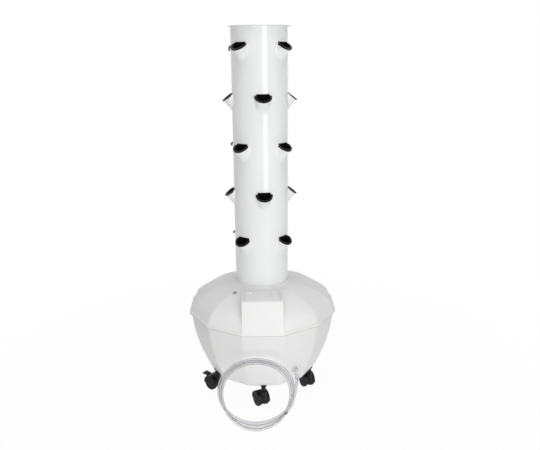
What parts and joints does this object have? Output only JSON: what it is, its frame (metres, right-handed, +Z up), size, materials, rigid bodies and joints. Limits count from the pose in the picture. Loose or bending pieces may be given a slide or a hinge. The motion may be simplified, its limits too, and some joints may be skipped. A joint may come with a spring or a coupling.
{
  "type": "hydroponic tower",
  "caption": "White plastic pipe column with tiers of tilted black planting cups, on a faceted domed water tank with a filler box, swivel casters and a clear drain hose.",
  "frame": {"origin": "on the floor under the column's axis, at the centre of the tank's footprint", "axes": "+Z up along the column, -Y to the front with the filler box and the hose, +X to the right"},
  "size_m": [0.553, 0.6255, 1.3741],
  "materials": {
    "tank_white": "satin moulded plastic",
    "column_white": "gloss plastic pipe",
    "cup_black": "semi-gloss moulded plastic",
    "caster_black": "satin moulded plastic",
    "wheel_black": "satin nylon",
    "steel": "zinc plated",
    "clear_hose": "clear soft vinyl",
    "pump_black": "moulded plastic",
    "grommet_rubber": "soft rubber"
  },
  "bodies": {
    "tank": {"tank_bowl": "tank_white", "caster_sockets": "caster_black", "caster_stems": "steel", "outlet_elbow": "column_white", "outlet_nut": "column_white", "hose_lead": "clear_hose", "hose_coil": "clear_hose", "pump_body": "pump_black", "pump_strainer": "pump_black"},
    "cover": {"tank_cover": "tank_white", "cable_grommet": "grommet_rubber", "filler_hinge_pin": "steel"},
    "flap": {"filler_flap": "tank_white"},
    "column": {"column_tube": "column_white", "spray_plate": "column_white", "riser_pipe": "column_white"},
    "cap": {"column_cap": "column_white"},
    "cup_01": {"cup_01": "cup_black"},
    "cup_02": {"cup_02": "cup_black"},
    "cup_03": {"cup_03": "cup_black"},
    "cup_04": {"cup_04": "cup_black"},
    "cup_05": {"cup_05": "cup_black"},
    "cup_06": {"cup_06": "cup_black"},
    "cup_07": {"cup_07": "cup_black"},
    "cup_08": {"cup_08": "cup_black"},
    "cup_09": {"cup_09": "cup_black"},
    "cup_10": {"cup_10": "cup_black"},
    "cup_11": {"cup_11": "cup_black"},
    "cup_12": {"cup_12": "cup_black"},
    "cup_13": {"cup_13": "cup_black"},
    "cup_14": {"cup_14": "cup_black"},
    "cup_15": {"cup_15": "cup_black"},
    "cup_16": {"cup_16": "cup_black"},
    "cup_17": {"cup_17": "cup_black"},
    "cup_18": {"cup_18": "cup_black"},
    "cup_19": {"cup_19": "cup_black"},
    "cup_20": {"cup_20": "cup_black"},
    "caster_1": {"caster_1_hood": "caster_black", "caster_1_axle": "steel"},
    "caster_1_wheel_l": {"caster_1_wheel_l": "wheel_black"},
    "caster_1_wheel_r": {"caster_1_wheel_r": "wheel_black"},
    "caster_2": {"caster_2_hood": "caster_black", "caster_2_axle": "steel"},
    "caster_2_wheel_l": {"caster_2_wheel_l": "wheel_black"},
    "caster_2_wheel_r": {"caster_2_wheel_r": "wheel_black"},
    "caster_3": {"caster_3_hood": "caster_black", "caster_3_axle": "steel"},
    "caster_3_wheel_l": {"caster_3_wheel_l": "wheel_black"},
    "caster_3_wheel_r": {"caster_3_wheel_r": "wheel_black"},
    "caster_3_brake": {"caster_3_brake_pedal": "caster_black"},
    "caster_4": {"caster_4_hood": "caster_black", "caster_4_axle": "steel"},
    "caster_4_wheel_l": {"caster_4_wheel_l": "wheel_black"},
    "caster_4_wheel_r": {"caster_4_wheel_r": "wheel_black"},
    "caster_5": {"caster_5_hood": "caster_black", "caster_5_axle": "steel"},
    "caster_5_wheel_l": {"caster_5_wheel_l": "wheel_black"},
    "caster_5_wheel_r": {"caster_5_wheel_r": "wheel_black"},
    "caster_5_brake": {"caster_5_brake_pedal": "caster_black"}
  },
  "joints": [
    {"name": "cover_lift", "type": "slide", "parent": "tank", "child": "cover", "axis": [0, 0, 1], "range_m": [0, 0.1]},
    {"name": "flap_hinge", "type": "hinge", "parent": "cover", "child": "flap", "pos_m": [0, -0.158, 0.445], "axis": [-1, 0, 0], "range_deg": [0, 100]},
    {"name": "column_lift", "type": "slide", "parent": "cover", "child": "column", "axis": [0, 0, 1], "range_m": [0, 0.06]},
    {"name": "cap_lift", "type": "slide", "parent": "column", "child": "cap", "axis": [0, 0, 1], "range_m": [0, 0.03]},
    {"name": "cup_01_lift", "type": "slide", "parent": "column", "child": "cup_01", "axis": [-0.3699, -0.4568, 0.809], "range_m": [0, 0.06]},
    {"name": "cup_02_lift", "type": "slide", "parent": "column", "child": "cup_02", "axis": [0.4568, -0.3699, 0.809], "range_m": [0, 0.06]},
    {"name": "cup_03_lift", "type": "slide", "parent": "column", "child": "cup_03", "axis": [0.3699, 0.4568, 0.809], "range_m": [0, 0.06]},
    {"name": "cup_04_lift", "type": "slide", "parent": "column", "child": "cup_04", "axis": [-0.4568, 0.3699, 0.809], "range_m": [0, 0.06]},
    {"name": "cup_05_lift", "type": "slide", "parent": "column", "child": "cup_05", "axis": [0.0614, -0.5846, 0.809], "range_m": [0, 0.06]},
    {"name": "cup_06_lift", "type": "slide", "parent": "column", "child": "cup_06", "axis": [0.5846, 0.0614, 0.809], "range_m": [0, 0.06]},
    {"name": "cup_07_lift", "type": "slide", "parent": "column", "child": "cup_07", "axis": [-0.0614, 0.5846, 0.809], "range_m": [0, 0.06]},
    {"name": "cup_08_lift", "type": "slide", "parent": "column", "child": "cup_08", "axis": [-0.5846, -0.0614, 0.809], "range_m": [0, 0.06]},
    {"name": "cup_09_lift", "type": "slide", "parent": "column", "child": "cup_09", "axis": [-0.3699, -0.4568, 0.809], "range_m": [0, 0.06]},
    {"name": "cup_10_lift", "type": "slide", "parent": "column", "child": "cup_10", "axis": [0.4568, -0.3699, 0.809], "range_m": [0, 0.06]},
    {"name": "cup_11_lift", "type": "slide", "parent": "column", "child": "cup_11", "axis": [0.3699, 0.4568, 0.809], "range_m": [0, 0.06]},
    {"name": "cup_12_lift", "type": "slide", "parent": "column", "child": "cup_12", "axis": [-0.4568, 0.3699, 0.809], "range_m": [0, 0.06]},
    {"name": "cup_13_lift", "type": "slide", "parent": "column", "child": "cup_13", "axis": [0.0614, -0.5846, 0.809], "range_m": [0, 0.06]},
    {"name": "cup_14_lift", "type": "slide", "parent": "column", "child": "cup_14", "axis": [0.5846, 0.0614, 0.809], "range_m": [0, 0.06]},
    {"name": "cup_15_lift", "type": "slide", "parent": "column", "child": "cup_15", "axis": [-0.0614, 0.5846, 0.809], "range_m": [0, 0.06]},
    {"name": "cup_16_lift", "type": "slide", "parent": "column", "child": "cup_16", "axis": [-0.5846, -0.0614, 0.809], "range_m": [0, 0.06]},
    {"name": "cup_17_lift", "type": "slide", "parent": "column", "child": "cup_17", "axis": [-0.3699, -0.4568, 0.809], "range_m": [0, 0.06]},
    {"name": "cup_18_lift", "type": "slide", "parent": "column", "child": "cup_18", "axis": [0.4568, -0.3699, 0.809], "range_m": [0, 0.06]},
    {"name": "cup_19_lift", "type": "slide", "parent": "column", "child": "cup_19", "axis": [0.3699, 0.4568, 0.809], "range_m": [0, 0.06]},
    {"name": "cup_20_lift", "type": "slide", "parent": "column", "child": "cup_20", "axis": [-0.4568, 0.3699, 0.809], "range_m": [0, 0.06]},
    {"name": "caster_1_swivel", "type": "hinge", "parent": "tank", "child": "caster_1", "pos_m": [0, -0.19, 0.06], "axis": [0, 0, 1], "continuous": true},
    {"name": "caster_1_wheel_l_spin", "type": "hinge", "parent": "caster_1", "child": "caster_1_wheel_l", "pos_m": [-0.00999, -0.1704, 0.0275], "axis": [0.891, 0.454, 0], "continuous": true},
    {"name": "caster_1_wheel_r_spin", "type": "hinge", "parent": "caster_1", "child": "caster_1_wheel_r", "pos_m": [-0.00999, -0.1704, 0.0275], "axis": [0.891, 0.454, 0], "continuous": true},
    {"name": "caster_2_swivel", "type": "hinge", "parent": "tank", "child": "caster_2", "pos_m": [0.1807, -0.05871, 0.06], "axis": [0, 0, 1], "continuous": true},
    {"name": "caster_2_wheel_l_spin", "type": "hinge", "parent": "caster_2", "child": "caster_2_wheel_l", "pos_m": [0.17246, -0.03832, 0.0275], "axis": [0.9272, 0.3746, 0], "continuous": true},
    {"name": "caster_2_wheel_r_spin", "type": "hinge", "parent": "caster_2", "child": "caster_2_wheel_r", "pos_m": [0.17246, -0.03832, 0.0275], "axis": [0.9272, 0.3746, 0], "continuous": true},
    {"name": "caster_3_swivel", "type": "hinge", "parent": "tank", "child": "caster_3", "pos_m": [0.11168, 0.15371, 0.06], "axis": [0, 0, 1], "continuous": true},
    {"name": "caster_3_wheel_l_spin", "type": "hinge", "parent": "caster_3", "child": "caster_3_wheel_l", "pos_m": [0.09906, 0.17173, 0.0275], "axis": [0.8192, 0.5736, 0], "continuous": true},
    {"name": "caster_3_wheel_r_spin", "type": "hinge", "parent": "caster_3", "child": "caster_3_wheel_r", "pos_m": [0.09906, 0.17173, 0.0275], "axis": [0.8192, 0.5736, 0], "continuous": true},
    {"name": "caster_3_brake_press", "type": "hinge", "parent": "caster_3", "child": "caster_3_brake", "pos_m": [0.08346, 0.19401, 0.05032], "axis": [-0.8192, -0.5736, 0], "range_deg": [0, 18]},
    {"name": "caster_4_swivel", "type": "hinge", "parent": "tank", "child": "caster_4", "pos_m": [-0.11168, 0.15371, 0.06], "axis": [0, 0, 1], "continuous": true},
    {"name": "caster_4_wheel_l_spin", "type": "hinge", "parent": "caster_4", "child": "caster_4_wheel_l", "pos_m": [-0.12268, 0.17277, 0.0275], "axis": [0.866, 0.5, 0], "continuous": true},
    {"name": "caster_4_wheel_r_spin", "type": "hinge", "parent": "caster_4", "child": "caster_4_wheel_r", "pos_m": [-0.12268, 0.17277, 0.0275], "axis": [0.866, 0.5, 0], "continuous": true},
    {"name": "caster_5_swivel", "type": "hinge", "parent": "tank", "child": "caster_5", "pos_m": [-0.1807, -0.05871, 0.06], "axis": [0, 0, 1], "continuous": true},
    {"name": "caster_5_wheel_l_spin", "type": "hinge", "parent": "caster_5", "child": "caster_5_wheel_l", "pos_m": [-0.19755, -0.04457, 0.0275], "axis": [0.6428, 0.766, 0], "continuous": true},
    {"name": "caster_5_wheel_r_spin", "type": "hinge", "parent": "caster_5", "child": "caster_5_wheel_r", "pos_m": [-0.19755, -0.04457, 0.0275], "axis": [0.6428, 0.766, 0], "continuous": true},
    {"name": "caster_5_brake_press", "type": "hinge", "parent": "caster_5", "child": "caster_5_brake", "pos_m": [-0.21839, -0.02709, 0.05032], "axis": [-0.6428, -0.766, 0], "range_deg": [0, 18]}
  ]
}
